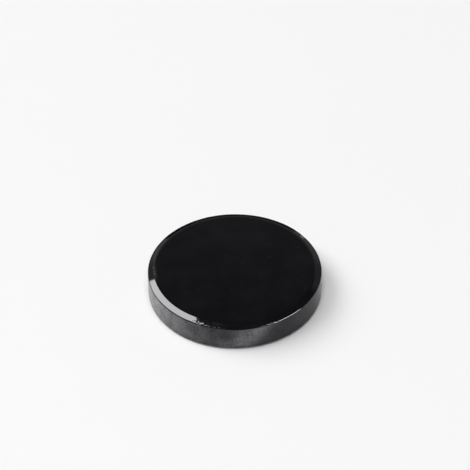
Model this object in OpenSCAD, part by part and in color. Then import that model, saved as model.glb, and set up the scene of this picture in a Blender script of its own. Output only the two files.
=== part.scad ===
// Disc magnet: one solid round plate with a shallow bevel round both faces.
//
// The disc lies on its lower face. The origin is the centre of that face, and
// +Z is the disc's own axis. All sizes are in millimetres.

/* [Disc] */
// Diameter across the round side wall
disc_diameter = 33.5; // [25:0.5:45]
// Thickness from the lower face to the upper face
disc_thickness = 5.7; // [4:0.1:10]

/* [Bevels] */
// How far each bevel reaches in over its face, from the side wall
bevel_width = 1.2; // [0.8:0.1:2.5]
// How far each bevel drops down the side wall, from its face
bevel_height = 0.5; // [0.3:0.05:1]

/* [Edges] */
// Radius of the edge between the side wall and a bevel
wall_edge_radius = 0.3; // [0.1:0.05:0.4]
// Radius of the edge between a bevel and its face
face_edge_radius = 0.5; // [0.2:0.1:1]

/* [Finish] */
// Colour of the coat
coat_color = "#141415"; // [#141415:Gloss black, #3b3b3e:Graphite grey]

/* [Hidden] */

// Steps round a full circle
$fn = 180;

disc_radius = disc_diameter / 2;
mid_height = disc_thickness / 2;
// Slope of a bevel against its face, in degrees
bevel_slope = atan2(bevel_height, bevel_width);

// Corners of the section's upper half, from the middle of the wall to the axis
wall_middle = [disc_radius, mid_height];
wall_corner = [disc_radius, disc_thickness - bevel_height];
face_corner = [disc_radius - bevel_width, disc_thickness];
face_centre = [0, disc_thickness];
disc_centre = [0, mid_height];

// How far the outline turns at each of the two bevelled corners, in degrees
wall_turn = 90 - bevel_slope;
face_turn = bevel_slope;

// The point a given distance along the straight line from one point to another
function along(from, to, distance) = from + distance * (to - from) / norm(to - from);

// The point twice as far from a centre as the given one
function twice_as_far(point, centre) = 2 * point - centre;

// What an arc takes off one corner of the outline. The arc touches both straight
// sides, at arc_start and arc_end. The piece taken off stands proud of both sides,
// so that no sliver of either is left behind.
module corner_waste(before, corner, after, radius, turn) {
    tangent_length = radius * tan(turn / 2);
    arc_start = along(corner, before, tangent_length);
    arc_end = along(corner, after, tangent_length);
    arc_centre = along(corner, (arc_start + arc_end) / 2, radius / cos(turn / 2));
    difference() {
        polygon([
            arc_start,
            twice_as_far(arc_start, arc_centre),
            twice_as_far(corner, arc_centre),
            twice_as_far(arc_end, arc_centre),
            arc_end
        ]);
        translate(arc_centre) circle(r = radius);
    }
}

// Upper half of the section, with its wall edge and its face edge rounded
module upper_half_section() {
    difference() {
        polygon([disc_centre, wall_middle, wall_corner, face_corner, face_centre]);
        corner_waste(wall_middle, wall_corner, face_corner, wall_edge_radius, wall_turn);
        corner_waste(wall_corner, face_corner, face_centre, face_edge_radius, face_turn);
    }
}

// Whole section: the lower half mirrors the upper half about mid height
module disc_section() {
    upper_half_section();
    translate([0, disc_thickness]) mirror([0, 1]) upper_half_section();
}

// The magnet: its section turned once about the disc's axis
module magnet_disc() {
    color(coat_color) rotate_extrude() disc_section();
}

magnet_disc();
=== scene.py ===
# %% [markdown]
# # A disc magnet in black gloss
#
# The object is one solid disc, a little wider than a coin and about as thick as three of
# them. It was pressed and sintered from magnet powder, ground to size, tumbled so that
# both rims have a shallow bevel, and then coated in a thin black gloss. This lesson
# makes the finished surface round a CAD model that already has the right size.
#
# The object looks simple, and so the small things carry it: one wide highlight on the
# bevel, a dark line under it, a knocked edge in front and a side wall that is satin and
# a little blotchy. The steps below make them one after the other.
#
# We load the CAD model first. Its box is the size that the finished piece has to keep.

# %% Load the CAD disc
import math

import bpy
import numpy as np
from mathutils import Euler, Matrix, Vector


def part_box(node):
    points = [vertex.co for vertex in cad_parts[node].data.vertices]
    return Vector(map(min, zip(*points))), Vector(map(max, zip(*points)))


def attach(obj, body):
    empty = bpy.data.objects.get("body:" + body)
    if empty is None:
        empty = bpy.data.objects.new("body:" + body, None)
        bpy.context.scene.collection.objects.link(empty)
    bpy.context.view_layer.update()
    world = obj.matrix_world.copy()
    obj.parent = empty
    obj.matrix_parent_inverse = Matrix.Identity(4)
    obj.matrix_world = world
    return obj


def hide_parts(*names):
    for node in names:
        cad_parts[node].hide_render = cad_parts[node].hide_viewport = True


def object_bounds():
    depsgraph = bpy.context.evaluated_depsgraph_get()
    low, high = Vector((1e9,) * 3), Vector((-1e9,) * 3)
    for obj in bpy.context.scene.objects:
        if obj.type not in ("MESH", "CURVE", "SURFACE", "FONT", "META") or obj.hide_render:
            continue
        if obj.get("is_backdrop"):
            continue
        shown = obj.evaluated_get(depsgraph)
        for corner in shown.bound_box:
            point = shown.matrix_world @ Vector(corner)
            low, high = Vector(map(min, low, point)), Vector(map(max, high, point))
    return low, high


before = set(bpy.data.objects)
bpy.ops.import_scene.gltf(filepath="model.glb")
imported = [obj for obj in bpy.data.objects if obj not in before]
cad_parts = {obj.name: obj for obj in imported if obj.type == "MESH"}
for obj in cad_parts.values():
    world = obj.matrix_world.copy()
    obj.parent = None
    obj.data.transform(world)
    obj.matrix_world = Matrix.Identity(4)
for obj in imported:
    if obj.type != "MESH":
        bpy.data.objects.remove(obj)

cad_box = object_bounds()
cad_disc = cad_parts["magnet_disc"]
low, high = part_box("magnet_disc")

MM = 0.001
DISC_RADIUS = (high.x - low.x) / 2
THICKNESS = high.z - low.z
MID_HEIGHT = (high.z + low.z) / 2
print(f"disc: {2 * DISC_RADIUS / MM:.2f} mm across, {THICKNESS / MM:.2f} mm thick")

# %% [markdown]
# ## Reading the section of the disc
#
# A disc like this is described by half of its cross-section: a flat face, a short
# straight bevel, and an upright wall, with a small rounding at both corners. The sizes
# could be typed in again here, but then they could drift away from the CAD model. So we
# read them off its vertices. Each vertex becomes a pair (distance from the axis, height),
# and the longest straight step between the wall and the flat face is the bevel. The
# rounding at the wall isn't read, because it is what wears most, and a later step sets it.

# %% Measure the bevel and the rounding at the face
SAME_PLACE = 0.002 * MM
METRE_DIGITS = 7


def measure_section(disc):
    """The bevel's width and height and the radius at the face, of a turned section.

    Each vertex at (x, y, z) counts as the pair (hypot(x, y), z). Sorted by angle about
    the middle of the section, the pairs run up the outline. The bevel is the longest
    step between the top of the wall and the rim of the flat. Extended, it meets the
    wall and the face at two corners. The arc at the face touches both of its sides at
    radius * tan(turn / 2) from the corner, which gives the radius back.
    """
    places = np.zeros(len(disc.data.vertices) * 3)
    disc.data.vertices.foreach_get("co", places)
    places = places.reshape(-1, 3)
    radii = np.hypot(places[:, 0], places[:, 1])
    pairs = np.unique(np.round(np.column_stack([radii, places[:, 2]]), METRE_DIGITS), axis=0)
    pairs = pairs[pairs[:, 1] > MID_HEIGHT]
    order = np.argsort(np.arctan2(pairs[:, 1] - MID_HEIGHT, pairs[:, 0]))
    pairs = pairs[order]
    on_wall = pairs[:, 0].max() - pairs[:, 0] < SAME_PLACE
    on_face = (np.abs(pairs[:, 1] - high.z) < SAME_PLACE) & (pairs[:, 0] > 0)
    wall_top = pairs[on_wall][:, 1].max()
    flat_rim = pairs[on_face][:, 0].max()
    at_corner = (pairs[:, 1] >= wall_top - SAME_PLACE) & (pairs[:, 0] >= flat_rim - SAME_PLACE)
    corner_pairs = pairs[at_corner]
    longest = int(np.argmax(np.linalg.norm(np.diff(corner_pairs, axis=0), axis=1)))
    lower_end, upper_end = corner_pairs[longest], corner_pairs[longest + 1]
    slope = math.atan2(upper_end[1] - lower_end[1], lower_end[0] - upper_end[0])
    bevel_height = high.z - (lower_end[1] - (DISC_RADIUS - lower_end[0]) * math.tan(slope))
    bevel_width = bevel_height / math.tan(slope)
    face_tangent = (DISC_RADIUS - bevel_width) - flat_rim
    face_edge_radius = face_tangent / math.tan(slope / 2)
    return bevel_width, bevel_height, face_edge_radius


BEVEL_WIDTH, BEVEL_HEIGHT, FACE_EDGE_RADIUS = measure_section(cad_disc)
print(f"bevel: {BEVEL_WIDTH / MM:.3f} mm in, {BEVEL_HEIGHT / MM:.3f} mm down")
print(f"rounding at the face: {FACE_EDGE_RADIUS / MM:.3f} mm")

# %% [markdown]
# ## The rim is not perfect
#
# Tumbling wears the rim unevenly, and the coat gathers and thins along it. So the line
# where the bevel meets the wall wanders by a few hundredths of a millimetre as it goes
# round. A lathe profile with fixed numbers would look machined and new. Here every size
# of the section is an array instead, with one value for each step round the disc.
#
# `wander` is slow and goes all the way round. It is a sum of cosines that each go round
# a whole number of times, so it has no seam. `hump` picks a place: it is 1 at an angle
# and dies away on both sides. Angles are in degrees, 0 at +X and 270 at the front.

# %% Random variation round a circle
STEPS_AROUND = 1080
AROUND = np.linspace(0, 2 * np.pi, STEPS_AROUND, endpoint=False)
dice = np.random.default_rng(33)


def wander(amplitude, slowest, fastest):
    """A closed random curve: a sum of cosines that go round a whole number of times.

    Each cosine has its own phase, and its height falls as one over its frequency. The
    sum is scaled so that its standard deviation is the amplitude.
    """
    waves = np.arange(slowest, fastest + 1)
    phases = dice.uniform(0, 2 * np.pi, waves.size)
    heights = dice.normal(0, 1, waves.size) / waves
    curve = (heights[:, None] * np.cos(waves[:, None] * AROUND + phases[:, None])).sum(axis=0)
    return amplitude * curve / curve.std()


def turn_from(centre_degrees):
    """How far each step is from an angle, in degrees from -180 to 180."""
    return (np.degrees(AROUND) - centre_degrees + 180) % 360 - 180


def hump(centre_degrees, width_degrees):
    """A smooth hump round the circle: exp of minus the square of the turn over its width."""
    return np.exp(-((turn_from(centre_degrees) / width_degrees) ** 2))


print(f"one step round the rim is {2 * np.pi * DISC_RADIUS / STEPS_AROUND / MM:.3f} mm")

# %% [markdown]
# ## Where the rim is worn
#
# A magnet like this snaps against steel and against its neighbours, so its edge gets
# knocked. In front the edge is pushed down and small chips have come off on both sides
# of that knock. To the left of it the edge is rounder, which shows as a dark line under
# the bright bevel, and there the bevel is also a little wider. To the right it is blunt
# enough to hold a thin line of light. At the far right and at the far left the edge is
# crisp. The corner between bevel and face is soft round the back. Two small dents finish
# it: one where the thin line of light starts, and a nick at the back right.
#
# Each of these is an array with one number for each step round the disc, near 0 where
# the wear is absent. The rounder edge to the left also has the bevel reach further down.
# That part stops at a step just before the knock, and a logistic curve makes the step.

# %% Places round the rim
KNOCK_START = 241.2

KNOCKED = hump(275, 13)
ROUNDER = hump(229, 28)
BEFORE_KNOCK = 1 / (1 + np.exp(np.degrees(AROUND) - KNOCK_START))
BLUNT = hump(300, 22)
SOFT_FACE_EDGE = hump(70, 110)
CRISP = np.clip(hump(0, 45) + hump(160, 34), 0, 1)
BACK_NICK = hump(37, 2.2)
FRONT_DENT = hump(298, 1.3)
WIDE_BEVEL = hump(207, 16)
CHIPS_AT_HIGHLIGHT = 0.7 * hump(246, 7) + 0.6 * hump(257, 8)
CHIPS_AT_DENT = 1.6 * hump(293, 5) + 0.12 * hump(315, 12)
CHIPPED = CHIPS_AT_HIGHLIGHT + CHIPS_AT_DENT
CLEARLY_CHIPPED = 0.3
print(f"chips touch {100 * (CHIPPED > CLEARLY_CHIPPED).mean():.0f}% of the rim")

# %% [markdown]
# ## The surface as a grid
#
# The disc's skin is a grid with two parameters. One goes round the axis. The other runs
# along the section, from the middle of the wall over the rounded edge, the bevel and the
# second rounded edge to the centre of the face. Rows crowd together at the ends of each
# stretch, so that the smooth shading stays flat where the surface is flat.
#
# A grid of this kind is easy to change: a chip, a dent or a softer corner is only
# another term in the formula. With a modelled cylinder and a Bevel modifier the worn
# places would have to be pushed about by hand.

# %% Section rows
WALL_ROWS = 8
WALL_EDGE_ROWS = 12
BEVEL_ROWS = 13
FACE_EDGE_ROWS = 6
FACE_ROWS = 10


def crowded(count):
    """Stations from 0 to 1, crowded at both ends: half of one minus the cosine of pi times u."""
    return (0.5 - 0.5 * np.cos(np.pi * np.linspace(0, 1, count)))[:, None]


def half_section(bevel_width, bevel_height, wall_edge_radius, face_edge_radius):
    """Radii and heights above mid height of one half of the skin, one row for each station.

    The slope is the angle of the bevel against the face. A rounded edge is part of a
    circle: centre plus radius times (cos, sin) of the angle of the outward normal, which
    turns from 0 on the wall to a right angle less the slope on the bevel, and then on to
    a right angle on the face. Straight stretches join the ends of the arcs.
    """
    half = THICKNESS / 2
    slope = np.arctan2(bevel_height, bevel_width)
    wall_top = half - bevel_height - wall_edge_radius * np.tan((np.pi / 2 - slope) / 2)
    flat_rim = DISC_RADIUS - bevel_width - face_edge_radius * np.tan(slope / 2)
    wall_angle = crowded(WALL_EDGE_ROWS) * (np.pi / 2 - slope)
    face_angle = np.pi / 2 - slope + crowded(FACE_EDGE_ROWS) * slope
    wall_arc_radii = DISC_RADIUS - wall_edge_radius + wall_edge_radius * np.cos(wall_angle)
    wall_arc_heights = wall_top + wall_edge_radius * np.sin(wall_angle)
    face_arc_radii = flat_rim + face_edge_radius * np.cos(face_angle)
    face_arc_heights = half - face_edge_radius + face_edge_radius * np.sin(face_angle)
    up_wall = crowded(WALL_ROWS)[:-1]
    up_bevel = crowded(BEVEL_ROWS)[1:-1]
    inward = 1 - crowded(FACE_ROWS)[1:-1]
    radii = (
        DISC_RADIUS * np.ones_like(up_wall * wall_top),
        wall_arc_radii,
        wall_arc_radii[-1] + up_bevel * (face_arc_radii[0] - wall_arc_radii[-1]),
        face_arc_radii,
        flat_rim * inward,
    )
    heights = (
        up_wall * wall_top,
        wall_arc_heights,
        wall_arc_heights[-1] + up_bevel * (face_arc_heights[0] - wall_arc_heights[-1]),
        face_arc_heights,
        half * np.ones_like(flat_rim * inward),
    )
    return np.vstack(radii), np.vstack(heights)


print(f"section rows: {WALL_ROWS} up the wall, {BEVEL_ROWS} up the bevel, {FACE_ROWS} on the face")

# %% [markdown]
# ## Wearing the rim
#
# Now the section gets its sizes, all round the disc. A knock or a dent takes the outer
# end of the bevel down, so the bevel gets steeper there and mirrors something else. A
# rounder or blunter edge has a larger radius. Everything also wanders a little, because
# no stretch of a tumbled rim is quite like the next. Where the edge is crisp, it stands
# a few hundredths of a millimetre outside the CAD model's rounder edge.
#
# The lower rim stands on the table, where little of it shows. It gets wander of the same
# size, a slightly blunt edge and a slightly soft corner.

# %% Wear both rims
KNOCK_DROP = 0.17
ROUNDER_DROP = 0.05
NICK_DROP = 0.04
DENT_DROP = 0.1
WIDE_DROP = 0.03
LEAST_DROP, MOST_DROP = -0.12, 0.25
EDGE_RADIUS = 0.2
ROUNDER_RADIUS = 0.2
BLUNT_RADIUS = 0.12
CRISP_RADIUS = 0.08
SOFTER_RADIUS = 0.8
MOST_SOFT_WANDER = 0.1
USUAL_WIDENING = 0.03
WIDE_WIDENING = 0.075
LOWER_RIM_WEAR = 0.3


def worn_rim(knocked=0, rounder=0, blunt=0, soft=0, crisp=0, nick=0, dent=0, wide=0):
    """Sizes of the section at each step round the disc, in metres.

    Each argument says where one kind of wear is, from 0 for none to 1. The millimetres
    above say how much of it there is at 1. The drop is how much farther the bevel
    reaches down the wall than the CAD model's, and the widening how much farther in.
    """
    drop = wander(0.015, 3, 12) + KNOCK_DROP * knocked + ROUNDER_DROP * rounder * BEFORE_KNOCK
    drop = drop + NICK_DROP * nick + DENT_DROP * dent + WIDE_DROP * wide
    edge_radius = EDGE_RADIUS + ROUNDER_RADIUS * rounder + BLUNT_RADIUS * blunt
    edge_radius = edge_radius - CRISP_RADIUS * crisp + wander(0.01, 4, 20)
    soft_wander = np.clip(wander(0.03, 2, 9), -MOST_SOFT_WANDER, MOST_SOFT_WANDER)
    widening = USUAL_WIDENING + wander(0.02, 2, 10) + WIDE_WIDENING * wide
    return (
        BEVEL_WIDTH + MM * widening,
        BEVEL_HEIGHT + MM * np.clip(drop, LEAST_DROP, MOST_DROP),
        MM * edge_radius,
        FACE_EDGE_RADIUS + MM * (SOFTER_RADIUS * soft + soft_wander),
    )


upper_rim = worn_rim(
    knocked=KNOCKED,
    rounder=ROUNDER,
    blunt=BLUNT,
    soft=SOFT_FACE_EDGE,
    crisp=CRISP,
    nick=BACK_NICK,
    dent=FRONT_DENT,
    wide=WIDE_BEVEL,
)
lower_rim = worn_rim(blunt=LOWER_RIM_WEAR, soft=LOWER_RIM_WEAR)
upper_radii, upper_heights = half_section(*upper_rim)
lower_radii, lower_heights = half_section(*lower_rim)
print(f"half of the skin: {upper_radii.shape[0]} rows by {upper_radii.shape[1]} steps")

# %% [markdown]
# ## Chips
#
# A chip here is a shallow pit. Most are a few hundredths of a millimetre deep or less,
# and the deepest is 0.15 mm. It can't be seen as a hole, but its sides tilt, and a tilted
# bit of gloss mirrors another part of the room. That is what makes the row of bright and
# dark dots where the highlight ends. So the chips have to be real geometry: a painted
# dot would be bright from every side.
#
# The pits come from a random grid that is smoothed once, so that a pit spans two or
# three cells, and only its peaks are used. They hug the edge between wall and bevel, and
# reach further in where the highlight ends. The lower rim gets chips in the same way, a
# third of a turn further on.

# %% Press in the chips
CHIP_DEPTH = 0.055 * MM
CHIP_THRESHOLD = 0.6
TALLEST_PEAK = 2
SHARE_ROUND = 0.4
SHARE_ALONG = 0.7
USUAL_REACH = 0.26 * MM
EXTRA_REACH = 0.4 * MM
CHIP_REACH = USUAL_REACH + EXTRA_REACH * hump(240, 4)
TINY = 1e-12


def pitted(radii, heights, chipped):
    """The section with small pits pressed in along its normals.

    A random grid takes in a share of its neighbours round the disc and then along the
    section. Where it is above a threshold, the skin goes in by the excess times the
    depth. The pits fade with the distance from the wall's edge, as exp of minus the
    square of the distance over the reach.
    """
    field = dice.normal(0, 1, radii.shape)
    field = field + SHARE_ROUND * np.roll(field, 1, axis=1) + SHARE_ROUND * np.roll(field, -1, axis=1)
    field[1:-1] = SHARE_ALONG * field[:-2] + field[1:-1] + SHARE_ALONG * field[2:]
    peaks = np.clip(field / field.std() - CHIP_THRESHOLD, 0, TALLEST_PEAK)
    along_radii = np.gradient(radii, axis=0)
    along_heights = np.gradient(heights, axis=0)
    length = np.hypot(along_radii, along_heights) + TINY
    from_edge = np.hypot(DISC_RADIUS - radii, THICKNESS / 2 - BEVEL_HEIGHT - heights)
    amount = CHIP_DEPTH * peaks * chipped * np.exp(-((from_edge / CHIP_REACH) ** 2))
    return radii - amount * along_heights / length, heights + amount * along_radii / length


turned_chips = np.roll(CHIPPED, STEPS_AROUND // 3)
upper_radii, upper_heights = pitted(upper_radii, upper_heights, CHIPPED)
lower_radii, lower_heights = pitted(lower_radii, lower_heights, turned_chips)
skin_radii = np.vstack([lower_radii[::-1], upper_radii[1:]])
skin_heights = MID_HEIGHT + np.vstack([-lower_heights[::-1], upper_heights[1:]])
print(f"skin: {skin_radii.shape[0]} rows by {skin_radii.shape[1]} steps")

# %% [markdown]
# ## From arrays to a mesh
#
# `from_pydata` takes plain lists, and the lists come straight from the arrays: each face
# joins four neighbours in the grid, and the last column joins the first. Each face of the
# disc ends in a single vertex on the axis, so the solid is closed.

# %% Build the mesh
def link(name, mesh):
    """A new object that shows the mesh, placed at the origin and put in the scene."""
    thing = bpy.data.objects.new(name, mesh)
    bpy.context.scene.collection.objects.link(thing)
    return thing


def lathe_mesh(name, radii, heights):
    """A closed mesh from rows of radii and heights, with one vertex at each end of the axis.

    Vertex (row, step) is at (radius * cos, radius * sin, height) of its angle. Quads run
    up and round in the order that makes their normals point outwards.
    """
    rows, steps = radii.shape
    ring = np.stack([radii * np.cos(AROUND), radii * np.sin(AROUND), heights], axis=-1)
    ends = [[0, 0, heights[0].mean()], [0, 0, heights[-1].mean()]]
    vertices = np.vstack([ring.reshape(-1, 3), ends])
    index = np.arange(rows * steps).reshape(rows, steps)
    onward = np.roll(index, -1, axis=1)
    quads = np.stack([index[:-1], onward[:-1], onward[1:], index[1:]], axis=-1).reshape(-1, 4)
    bottom, top = rows * steps, rows * steps + 1
    bottom_fan = np.column_stack([np.full(steps, bottom), onward[0], index[0]])
    top_fan = np.column_stack([np.full(steps, top), index[-1], onward[-1]])
    mesh = bpy.data.meshes.new(name)
    mesh.from_pydata(vertices.tolist(), [], quads.tolist() + bottom_fan.tolist() + top_fan.tolist())
    mesh.shade_smooth()
    mesh.validate()
    return mesh


disc_mesh = lathe_mesh("magnet_disc_coated", skin_radii, skin_heights)
disc = link("magnet_disc_coated", disc_mesh)
triangles = sum(len(face.vertices) - 2 for face in disc_mesh.polygons)
print(f"mesh: {len(disc_mesh.vertices)} vertices, {triangles} triangles")

# %% [markdown]
# ## Two finishes on one coat
#
# The coat is one material on the real disc, but it doesn't look the same everywhere. The
# faces and bevels are smooth and mirror the room. The wall was ground round before it
# was coated, and the coat on it is satin. So the mesh has two material slots. The faces
# of the wall take the second, and so does the first part of the rounded edge above and
# below it, through a bit less than half of its turn.

# %% Tell the wall from the glossy faces
GLOSS, SATIN = 0, 1
SATIN_EDGE_ROWS = 4
quad_row = np.arange(skin_radii.shape[0] - 1) - (upper_radii.shape[0] - 1) + 0.5
row_finish = np.where(np.abs(quad_row) < WALL_ROWS + SATIN_EDGE_ROWS, SATIN, GLOSS)
finish = np.concatenate([np.repeat(row_finish, STEPS_AROUND), np.full(2 * STEPS_AROUND, GLOSS)])
disc_mesh.polygons.foreach_set("material_index", finish.astype(np.int32))
print(f"{(finish == SATIN).sum()} of {finish.size} faces belong to the wall")

# %% [markdown]
# ## Telling the materials where they are
#
# Two maps are stored on the vertices, so that the materials can be shinier in some places than in
# others, and carry painted glints in a few. A painted texture would need the surface to be unwrapped
# first. A number on each vertex needs nothing, and the grid is fine enough.
#
# The first map, `polish`, is for the wall. It is high where the wall has been rubbed
# smooth: in a wide patch at the left, a narrower one at the right, a weak one at the
# back and a small slanting one in front. It drops to nothing right at both edges, where
# the coat is thin and dull.

# %% Store the polish map
DULL_EDGE = 0.32 * MM
FRONT_PATCH_FOOT = 269
FRONT_PATCH_LEAN = 18
FRONT_PATCH_WIDTH = 10.5
FRONT_PATCH_POLISH = 0.56


def store(mesh, name, values):
    """A number on each vertex; the two vertices on the axis get 0."""
    layer = mesh.attributes.new(name, "FLOAT", "POINT")
    layer.data.foreach_set("value", np.append(values.ravel(), [0, 0]).astype(np.float32))


rise = (skin_heights - low.z) / THICKNESS
patch_middle = FRONT_PATCH_FOOT + FRONT_PATCH_LEAN * rise
front_patch = FRONT_PATCH_POLISH * np.exp(-((turn_from(patch_middle) / FRONT_PATCH_WIDTH) ** 2))
side_patches = 0.72 * hump(207, 35) + 0.45 * hump(354, 13) + 0.25 * hump(90, 60)
wall_height = THICKNESS - 2 * BEVEL_HEIGHT
above_foot = skin_heights - low.z - BEVEL_HEIGHT
from_nearer_edge = np.minimum(above_foot, wall_height - above_foot)
polish = (side_patches + front_patch) * np.clip(from_nearer_edge / DULL_EDGE, 0, 1)
store(disc_mesh, "polish", polish)
print(f"polish runs from {polish.min():.2f} to {polish.max():.2f}")

# %% [markdown]
# ## Painted glints on the gloss
#
# The second map is for the gloss. It marks where pale colour is painted onto the black, and most of it
# is painted light. There are four marks: a painted highlight along the inner edge of the bevel, just
# before the place where the highlight starts, a faint pale speckle beside it, a painted glint at the
# nick at the back with a fainter tail, and a few painted glints in front, beyond the end of the
# highlight.
#
# Each mark is a hump round the disc times a stripe at some distance in from the wall. The painted line
# at the left slants, so its stripe moves outward with each degree before the start of the highlight.

# %% Store the map of painted glints
EDGE_HIGHLIGHT_END = 183
EDGE_HIGHLIGHT_LENGTH = 30
EDGE_HIGHLIGHT_INSET = 1.27
EDGE_HIGHLIGHT_SLANT = 0.022

inset = DISC_RADIUS - skin_radii
above_middle = skin_heights > MID_HEIGHT


def stripe(centre_mm, width_mm):
    """A stripe round the disc at a distance in from the wall, fading on both sides."""
    return above_middle * np.exp(-(((inset / MM - centre_mm) / width_mm) ** 2))


before_highlight = np.clip(EDGE_HIGHLIGHT_END - np.degrees(AROUND), 0, EDGE_HIGHLIGHT_LENGTH)
edge_highlight_inset = EDGE_HIGHLIGHT_INSET - EDGE_HIGHLIGHT_SLANT * before_highlight
# Painted light as pale colour: a highlight on the face edge, glints at the nick and in front, plus a
# faint pale speckle.
painted_edge_highlight = (0.8 * hump(182, 8) + 0.3 * hump(165, 9)) * stripe(edge_highlight_inset, 0.17)
left_speckle = 0.05 * hump(165, 20) * stripe(0.55, 0.5)
painted_nick_glint = 3.2 * hump(35.5, 1.7) * stripe(0.45, 0.35)
painted_nick_tail = 0.2 * hump(50, 10) * stripe(0.3, 0.3)
painted_front_glints = 0.12 * hump(257, 9) * stripe(0.8, 0.3)
painted_glints = painted_edge_highlight + left_speckle + (painted_nick_glint + painted_nick_tail) + painted_front_glints
store(disc_mesh, "painted_glints", painted_glints)
print(f"scuff goes up to {painted_glints.max():.2f}")

# %% [markdown]
# ## A helper for node trees
#
# A material is a small machine of nodes. Written out one call at a time it is hard to
# read, so one helper makes a node, sets it and wires it. An input that is given another
# node's output is linked, and any other value is typed into the socket. The sockets of
# the maths nodes have no names of their own, so `in_0` means the first one.

# %% Node helper
def add_node(tree, kind, settings=None, **inputs):
    """A new shader node with its settings and inputs; gives back its first live output."""
    node = tree.nodes.new("ShaderNode" + kind)
    for name, value in (settings or {}).items():
        setattr(node, name, value)
    for name, value in inputs.items():
        which = int(name[3:]) if name.startswith("in_") else name.replace("_", " ")
        socket = node.inputs[which]
        if isinstance(value, bpy.types.NodeSocket):
            tree.links.new(value, socket)
        else:
            socket.default_value = value
    return next(socket for socket in node.outputs if socket.enabled)


def new_material(name):
    """A material with its node tree and its Principled shader."""
    material = bpy.data.materials.new(name)
    material.use_nodes = True
    return material, material.node_tree, material.node_tree.nodes["Principled BSDF"]


def stored(tree, name):
    """The number that was stored on the vertices under this name."""
    node = tree.nodes.new("ShaderNodeAttribute")
    node.attribute_name = name
    return node.outputs["Fac"]


def tinted(tree, gray, tint):
    """A colour: the tint made darker or lighter by a gray value."""
    return add_node(tree, "VectorMath", {"operation": "SCALE"}, in_0=tint, Scale=gray)


def noise(tree, place, size_mm, detail, roughness=0.6):
    """Noise between 0 and 1 whose blotches are about this many millimetres across."""
    blotches_per_metre = 1 / (size_mm * MM)
    inputs = {"Scale": blotches_per_metre, "Detail": detail, "Roughness": roughness}
    return add_node(tree, "TexNoise", Vector=place, **inputs)


def remap(tree, value, low_in, high_in, low_out, high_out):
    """The value moved from one range to another, and held at its ends."""
    ends = {"From_Min": low_in, "From_Max": high_in, "To_Min": low_out, "To_Max": high_out}
    return add_node(tree, "MapRange", Value=value, **ends)


print("node helpers ready")

# %% [markdown]
# ## The gloss coat
#
# A black coat has hardly any colour of its own. What we see is the room in it, and how strongly it
# mirrors depends on its index of refraction. A hard gloss over fine metal powder mirrors more than a
# plain plastic, so the index is set above the usual 1.5. The little colour that is there is a black
# with a hint of violet, and the painted glints are a hair warmer.
#
# Over that come three faint things, each from noise at its real size. A haze of a few millimetres makes
# the black uneven, specks of dust are under a millimetre, and a very low bump, a thousandth of a
# millimetre high, gives the reflections the slight waviness of a sprayed or dipped coat. The painted
# glints are pale colour that stands in for light caught by the rim. They come in only where the stored
# map says so, and a fine noise breaks them into dots.
#
# Blender's noise is near 0.5 most of the time. So each use of it picks a range of the
# noise, and stretches that to the grays or the roughness that it needs. A range high
# above 0.5 picks only rare specks.

# %% Gloss material
GLOSS_INDEX = 2.125
COOL_MIRROR = (0.975, 0.965, 1.0, 1)
VIOLET_BLACK = (1.0, 0.84, 1.16)
WARM_GLINT = (1.06, 1.0, 0.94)
HAZE_SIZE = 6
DUST_SIZE = 0.9
GLINT_DOT_SIZE = 0.3
RIPPLE_SIZE = 1.6
RIPPLE_HEIGHT = 0.001 * MM
HAZE_RANGE = (0.42, 0.72)
DUST_RANGE = (0.73, 0.84)
GLINT_DOT_RANGE = (0.43, 0.62)
SHEEN_RANGE = (0.3, 0.7)
CLEAN_BLACK = 0.0026
HAZY_BLACK = 0.0056
DUST_GRAY = 0.016
FAINT_GLINT = 0.005
FULL_GLINT = 0.14
SMOOTHEST, LEAST_SMOOTH = 0.045, 0.075


def gloss_material():
    """Black gloss with a haze, dust, a faint ripple, and painted glints where the map has them."""
    material, tree, shader = new_material("black_gloss_coat")
    shader.inputs["IOR"].default_value = GLOSS_INDEX
    shader.inputs["Specular Tint"].default_value = COOL_MIRROR
    place = tree.nodes.new("ShaderNodeTexCoord").outputs["Object"]
    haze = noise(tree, place, HAZE_SIZE, detail=3)
    dust = noise(tree, place, DUST_SIZE, detail=1)
    haze_gray = remap(tree, haze, *HAZE_RANGE, CLEAN_BLACK, HAZY_BLACK)
    dusty_gray = remap(tree, dust, *DUST_RANGE, haze_gray, DUST_GRAY)
    # Painted glints: pale colour laid on where the stored map says, broken into dots.
    dots = noise(tree, place, GLINT_DOT_SIZE, detail=2)
    broken = remap(tree, dots, *GLINT_DOT_RANGE, FAINT_GLINT, FULL_GLINT)
    glint_gray = add_node(tree, "Math", {"operation": "MULTIPLY"}, in_0=broken, in_1=stored(tree, "painted_glints"))
    black = tinted(tree, dusty_gray, VIOLET_BLACK)
    pale = tinted(tree, glint_gray, WARM_GLINT)
    colour = add_node(tree, "VectorMath", {"operation": "ADD"}, in_0=black, in_1=pale)
    tree.links.new(colour, shader.inputs["Base Color"])
    roughness = remap(tree, haze, *SHEEN_RANGE, SMOOTHEST, LEAST_SMOOTH)
    tree.links.new(roughness, shader.inputs["Roughness"])
    ripple = noise(tree, place, RIPPLE_SIZE, detail=2)
    bump = add_node(tree, "Bump", Height=ripple, Strength=1.0, Distance=RIPPLE_HEIGHT)
    tree.links.new(bump, shader.inputs["Normal"])
    return material


disc_mesh.materials.append(gloss_material())
print(f"gloss coat mirrors {100 * ((GLOSS_INDEX - 1) / (GLOSS_INDEX + 1)) ** 2:.0f}% straight on")

# %% [markdown]
# ## The satin wall
#
# The wall's coat is dull by itself, with a shinier film where it has been rubbed. That
# is two layers, and the Principled shader has both: a base with a low index, and a coat
# whose weight says how much of the film is there. The weight is the stored polish map,
# made blotchy by two noises: blotches of about three millimetres, and grain of under
# half a millimetre that is left from grinding. The two are added, so their sum is near
# 1 most of the time. Where there is no polish, a little spare film is left.
#
# The wall faces the table in front of it, so most of its light is the pale table mirrored
# in it. That is why a change in the coat's weight shows as lighter and darker patches.
# The mirror is slightly cool, as on steel, while the film on it is neutral.

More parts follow.
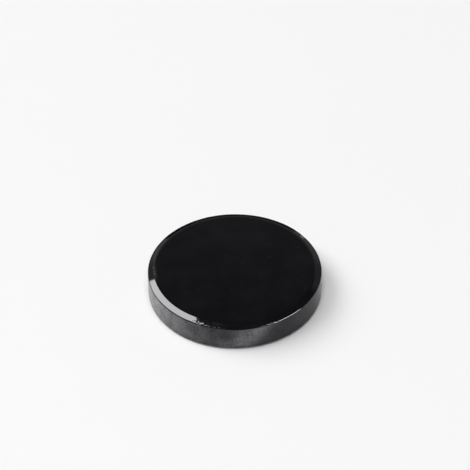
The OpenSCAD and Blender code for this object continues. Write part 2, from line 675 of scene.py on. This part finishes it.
# %% Satin material
DULL_INDEX = 1.33
COOL_WALL = (0.88, 0.9, 1.0, 1)
FILM_INDEX = 2.2
FILM_ROUGHNESS = 0.3
BLOTCH_SIZE = 2.8
GRAIN_SIZE = 0.34
GRAIN_HEIGHT = 0.01 * MM
UNEVEN_RANGE = (0.8, 1.2)
SPARE_RANGE = (0.65, 1.45)
LEAST_POLISH_SHARE, MOST_POLISH_SHARE = 0.5, 1.5
MOST_SPARE_FILM = 0.115
DULL_BLACK, DULL_GRAY = 0.004, 0.014
LOW_ROUGHNESS, HIGH_ROUGHNESS = 0.28, 0.45


def satin_material():
    """A dull black base with a blotchy film over it, after the polish map."""
    material, tree, shader = new_material("black_satin_wall")
    shader.inputs["IOR"].default_value = DULL_INDEX
    shader.inputs["Specular Tint"].default_value = COOL_WALL
    shader.inputs["Coat IOR"].default_value = FILM_INDEX
    shader.inputs["Coat Roughness"].default_value = FILM_ROUGHNESS
    place = tree.nodes.new("ShaderNodeTexCoord").outputs["Object"]
    blotches = noise(tree, place, BLOTCH_SIZE, detail=1.5)
    grain = noise(tree, place, GRAIN_SIZE, detail=2)
    uneven = add_node(tree, "Math", {"operation": "ADD"}, in_0=blotches, in_1=grain)
    more = remap(tree, uneven, *UNEVEN_RANGE, LEAST_POLISH_SHARE, MOST_POLISH_SHARE)
    spare = remap(tree, uneven, *SPARE_RANGE, 0, MOST_SPARE_FILM)
    multiply_add = {"operation": "MULTIPLY_ADD"}
    film = add_node(tree, "Math", multiply_add, in_0=stored(tree, "polish"), in_1=more, in_2=spare)
    tree.links.new(film, shader.inputs["Coat Weight"])
    dull = remap(tree, uneven, *UNEVEN_RANGE, DULL_BLACK, DULL_GRAY)
    tree.links.new(tinted(tree, dull, VIOLET_BLACK), shader.inputs["Base Color"])
    roughness = remap(tree, uneven, *UNEVEN_RANGE, LOW_ROUGHNESS, HIGH_ROUGHNESS)
    tree.links.new(roughness, shader.inputs["Roughness"])
    bump = add_node(tree, "Bump", Height=grain, Strength=1.0, Distance=GRAIN_HEIGHT)
    tree.links.new(bump, shader.inputs["Normal"])
    return material


disc_mesh.materials.append(satin_material())
print("materials on the disc:", [material.name for material in disc_mesh.materials])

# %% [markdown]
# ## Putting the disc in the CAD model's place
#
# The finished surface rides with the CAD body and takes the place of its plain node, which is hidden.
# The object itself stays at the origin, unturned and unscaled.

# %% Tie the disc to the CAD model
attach(disc, "root")
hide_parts("magnet_disc")
print("the finished disc replaces the plain one")

# %% [markdown]
# ## The table
#
# The disc lies on a plain white table, which is also most of what its wall mirrors, so
# the table matters as much as the lamps. It is a wide round sheet of rings, twelve
# metres across, so that its rim lies close to the horizon in every view. A square plane
# would do too, but a round sheet has its edge at the same distance all round.

# %% Table mesh
TABLE_RINGS = np.array([0.03, 0.1, 0.3, 1.0, 3.0, 6.0])
TABLE_SPOKES = 96


def ringed_sheet(name, rings, spokes, height):
    """A flat round sheet.

    Vertex (ring, spoke) is at the ring's radius times (cos, sin) of the spoke's angle,
    and one more vertex closes the middle.
    """
    angle = np.linspace(0, 2 * np.pi, spokes, endpoint=False)
    flat = np.full((rings.size, spokes), height)
    places = np.stack([rings[:, None] * np.cos(angle), rings[:, None] * np.sin(angle), flat], axis=-1)
    index = np.arange(rings.size * spokes).reshape(rings.size, spokes)
    onward = np.roll(index, -1, axis=1)
    quads = np.stack([index[:-1], index[1:], onward[1:], onward[:-1]], axis=-1).reshape(-1, 4)
    middle = np.column_stack([np.full(spokes, index.size), index[0], onward[0]])
    vertices = places.reshape(-1, 3).tolist() + [[0, 0, height]]
    mesh = bpy.data.meshes.new(name)
    mesh.from_pydata(vertices, [], quads.tolist() + middle.tolist())
    return mesh


table = link("table", ringed_sheet("table", TABLE_RINGS, TABLE_SPOKES, low.z))
table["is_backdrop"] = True
print(f"table: {2 * TABLE_RINGS[-1]:.0f} m across")

# %% [markdown]
# ## The table's finish
#
# Near the disc the table is plain paper white and takes the shadow. Far away the lamps
# no longer reach it, and it would turn gray in reflections. So from 12 cm outwards it
# slowly blends into a glow of the same colour, which only the camera, mirrors and glass
# can see. A brighter lamp would be simpler, but it would burn out the table near the
# disc.

# %% Table material
PAPER_WHITE = (0.94, 0.94, 0.94, 1)
PAPER_ROUGHNESS = 0.6
PAPER_INDEX = 1.4
BLEND_START, BLEND_END = 0.12, 0.6


def table_material():
    """Paper white near the middle, and a glow of the same colour far out."""
    material, tree, paper = new_material("white_table")
    paper.inputs["Base Color"].default_value = PAPER_WHITE
    paper.inputs["Roughness"].default_value = PAPER_ROUGHNESS
    paper.inputs["IOR"].default_value = PAPER_INDEX
    glow = add_node(tree, "Emission", Color=PAPER_WHITE)
    place = tree.nodes.new("ShaderNodeTexCoord").outputs["Object"]
    length = tree.nodes.new("ShaderNodeVectorMath")
    length.operation = "LENGTH"
    tree.links.new(place, length.inputs[0])
    share = remap(tree, length.outputs["Value"], BLEND_START, BLEND_END, 0, 1)
    share.node.interpolation_type = "SMOOTHSTEP"
    path = tree.nodes.new("ShaderNodeLightPath").outputs
    larger = {"operation": "MAXIMUM"}
    seen = add_node(tree, "Math", larger, in_0=path["Is Camera Ray"], in_1=path["Is Glossy Ray"])
    seen = add_node(tree, "Math", larger, in_0=seen, in_1=path["Is Transmission Ray"])
    amount = add_node(tree, "Math", {"operation": "MULTIPLY"}, in_0=seen, in_1=share)
    mixed = add_node(tree, "MixShader", in_0=amount, in_1=paper.outputs["BSDF"], in_2=glow)
    tree.links.new(mixed, tree.nodes["Material Output"].inputs["Surface"])
    return material


table.data.materials.append(table_material())
print("table white:", PAPER_WHITE[:3])

# %% [markdown]
# ## A dark flag behind the disc
#
# The bevel at the back leans away from the camera. It mirrors the table's far side and
# would shine white there, but a real room has something dark behind the table. A
# photographer would stand a strip of dark velvet there, called a flag. This one is a
# brown so deep that it is nearly black. The camera and the shadows ignore it, so it
# works only in the mirror of the gloss.

# %% Flag
FLAG_DISTANCE = 0.055
FLAG_HALF_WIDTH = 0.05
FLAG_HEIGHT = 0.012
VELVET_BROWN = (0.016, 0.012, 0.008, 1)

flag_foot = [(-FLAG_HALF_WIDTH, FLAG_DISTANCE, low.z), (FLAG_HALF_WIDTH, FLAG_DISTANCE, low.z)]
flag_head = [(x, y, z + FLAG_HEIGHT) for x, y, z in reversed(flag_foot)]
flag_mesh = bpy.data.meshes.new("black_flag")
flag_mesh.from_pydata(flag_foot + flag_head, [], [(0, 1, 2, 3)])
flag = link("black_flag", flag_mesh)
velvet, _, velvet_shader = new_material("black_velvet")
velvet_shader.inputs["Base Color"].default_value = VELVET_BROWN
velvet_shader.inputs["Roughness"].default_value = 1
flag_mesh.materials.append(velvet)
flag.visible_camera = False
flag.visible_diffuse = False
flag.visible_shadow = False
flag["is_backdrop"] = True
print(f"flag: {FLAG_HEIGHT / MM:.0f} mm high, {FLAG_DISTANCE / MM:.0f} mm behind the axis")

# %% [markdown]
# ## The room
#
# The gloss mirrors the room, so the room needs tones too. A pale band at the horizon
# carries on from the table, and above it the room gets darker in soft steps up to a
# nearly black ceiling. The flat face mirrors the dark upper part, which keeps it black.
# The soft corner at the back turns from the bevel to the face, so it mirrors the steps
# between, from above the flag upwards.
#
# The room is a colour ramp over the height of the view direction. Each pair below is an
# elevation angle in degrees and its gray. A ramp position is the sine of the elevation
# angle, because that is the direction's Z.

# %% World
ROOM_TONES = (
    (0, 0.94), (2.3, 0.94), (4, 0.25), (12, 0.17), (19, 0.17),
    (25, 0.09), (37, 0.09), (43, 0.02), (90, 0.02),
)


def studio_world():
    """A room of grays that depend only on how high one looks."""
    world = bpy.data.worlds.new("studio")
    world.use_nodes = True
    tree = world.node_tree
    direction = tree.nodes.new("ShaderNodeTexCoord").outputs["Generated"]
    split = tree.nodes.new("ShaderNodeSeparateXYZ")
    tree.links.new(direction, split.inputs["Vector"])
    ramp = tree.nodes.new("ShaderNodeValToRGB")
    tree.links.new(split.outputs["Z"], ramp.inputs["Fac"])
    stops = ramp.color_ramp.elements
    stops[0].position, stops[1].position = 0, 1
    for elevation, _ in ROOM_TONES[1:-1]:
        stops.new(math.sin(math.radians(elevation)))
    for stop, (_, tone) in zip(stops, ROOM_TONES):
        stop.color = (tone, tone, tone, 1)
    tree.links.new(ramp.outputs["Color"], tree.nodes["Background"].inputs["Color"])
    return world


bpy.context.scene.world = studio_world()
print(f"room: {len(ROOM_TONES)} tones from the horizon to the ceiling")

# %% [markdown]
# ## The lamps
#
# Three soft panels stand round the table. The key is a tall, slanting window at the
# left, a little towards the back. The bevel at the left mirrors this panel, so the
# panel's edges set where the highlight begins and ends, and its roll matters. The fill
# comes from above and lifts the shadow. It is hidden from reflections, because a second
# highlight would spoil the black face. A smaller panel at the right gives the blunt edge
# its thin line of light. It shows only in reflections and is linked to the disc alone,
# so that it leaves no light and no sheen on the table.
#
# A panel is described by the angles that it fills as seen from the disc, all in
# degrees, and by its radiance. Radiance 1 is the brightness of a pure white surface, and
# so one number tells how bright the panel will look in a mirror. The panels are almost
# white, with just enough tint to leave the table neutral.

# %% Soft panels
PANEL_DISTANCE = 3.0
KEY_WHITE = (0.98, 0.985, 0.985)
FILL_WHITE = (0.975, 0.968, 0.97)


def soft_panel(name, azimuth, elevation, half_width, half_height, radiance, roll=0):
    """An area lamp on a sphere round the disc, facing its centre, sized by the angles it fills.

    A matt panel of radiance L gives pi * L * area watts, and that is what the lamp's
    energy says.
    """
    light = bpy.data.lights.new(name, "AREA")
    light.shape = "RECTANGLE"
    light.size = 2 * PANEL_DISTANCE * math.tan(math.radians(half_width))
    light.size_y = 2 * PANEL_DISTANCE * math.tan(math.radians(half_height))
    light.energy = math.pi * light.size * light.size_y * radiance
    along, up = math.radians(azimuth), math.radians(elevation)
    direction = Vector((math.cos(up) * math.cos(along), math.cos(up) * math.sin(along), math.sin(up)))
    facing = direction.to_track_quat("Z", "Y") @ Euler((0, 0, math.radians(roll))).to_quaternion()
    lamp = bpy.data.objects.new(name, light)
    lamp.location = direction * PANEL_DISTANCE
    lamp.rotation_euler = facing.to_euler()
    bpy.context.scene.collection.objects.link(lamp)
    return lamp


key = soft_panel(
    "key", azimuth=166.1, elevation=50.4, half_width=15.85, half_height=28.9, radiance=3.75, roll=-44.9
)
key.data.color = KEY_WHITE
fill = soft_panel(
    "overhead_fill", azimuth=270, elevation=73, half_width=11.7, half_height=29, radiance=4.55
)
fill.data.color = FILL_WHITE
fill.visible_glossy = False
strip = soft_panel(
    "right_strip", azimuth=-26.5, elevation=32, half_width=20.5, half_height=12, radiance=6.6
)
strip.visible_diffuse = False
strip_receivers = bpy.data.collections.new("lit_by_right_strip")
strip_receivers.objects.link(disc)
strip.light_linking.receiver_collection = strip_receivers
print("lamps:", [f"{lamp.name} {lamp.data.energy:.0f} W" for lamp in (key, fill, strip)])

# %% [markdown]
# ## The camera
#
# The camera looks down at about 41 degrees with a long lens from half a metre away, so
# the disc shows its face, its front bevel and its wall at once with little perspective.

# %% Camera
SENSOR_WIDTH_MM = 36
LENS_MM = 200.9
FARTHEST_SEEN = 10
CAMERA_PLACE = (0.00011, -0.37788, 0.34079)
CAMERA_TILT, CAMERA_ROLL, CAMERA_PAN = 49.163, 0.380, -0.328

camera_data = bpy.data.cameras.new("camera")
camera_data.sensor_width = SENSOR_WIDTH_MM
camera_data.lens = LENS_MM
camera_data.clip_end = FARTHEST_SEEN
camera = bpy.data.objects.new("camera", camera_data)
camera.location = CAMERA_PLACE
camera.rotation_euler = [math.radians(angle) for angle in (CAMERA_TILT, CAMERA_ROLL, CAMERA_PAN)]
bpy.context.scene.collection.objects.link(camera)
bpy.context.scene.camera = camera
bpy.context.scene.view_settings.view_transform = "Standard"
print(f"camera: {camera.location.length:.3f} m from the disc")

# %% [markdown]
# ## The size at the end
#
# The last step prints the box of the finished surface next to the box that was measured at the start.
# The two should agree to a hundredth of a millimetre, because all the wear lies between the wall and
# the flat faces, and those keep their places.

# %% Sizes and finish
visual_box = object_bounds()


def plain(box):
    """A box as plain lists of numbers."""
    return [[float(value) for value in corner] for corner in box]


for name, box in (("CAD", cad_box), ("finished", visual_box)):
    spans = [far - near for near, far in zip(*plain(box))]
    print(f"{name} box: " + " x ".join(f"{span / MM:.3f}" for span in spans) + " mm")
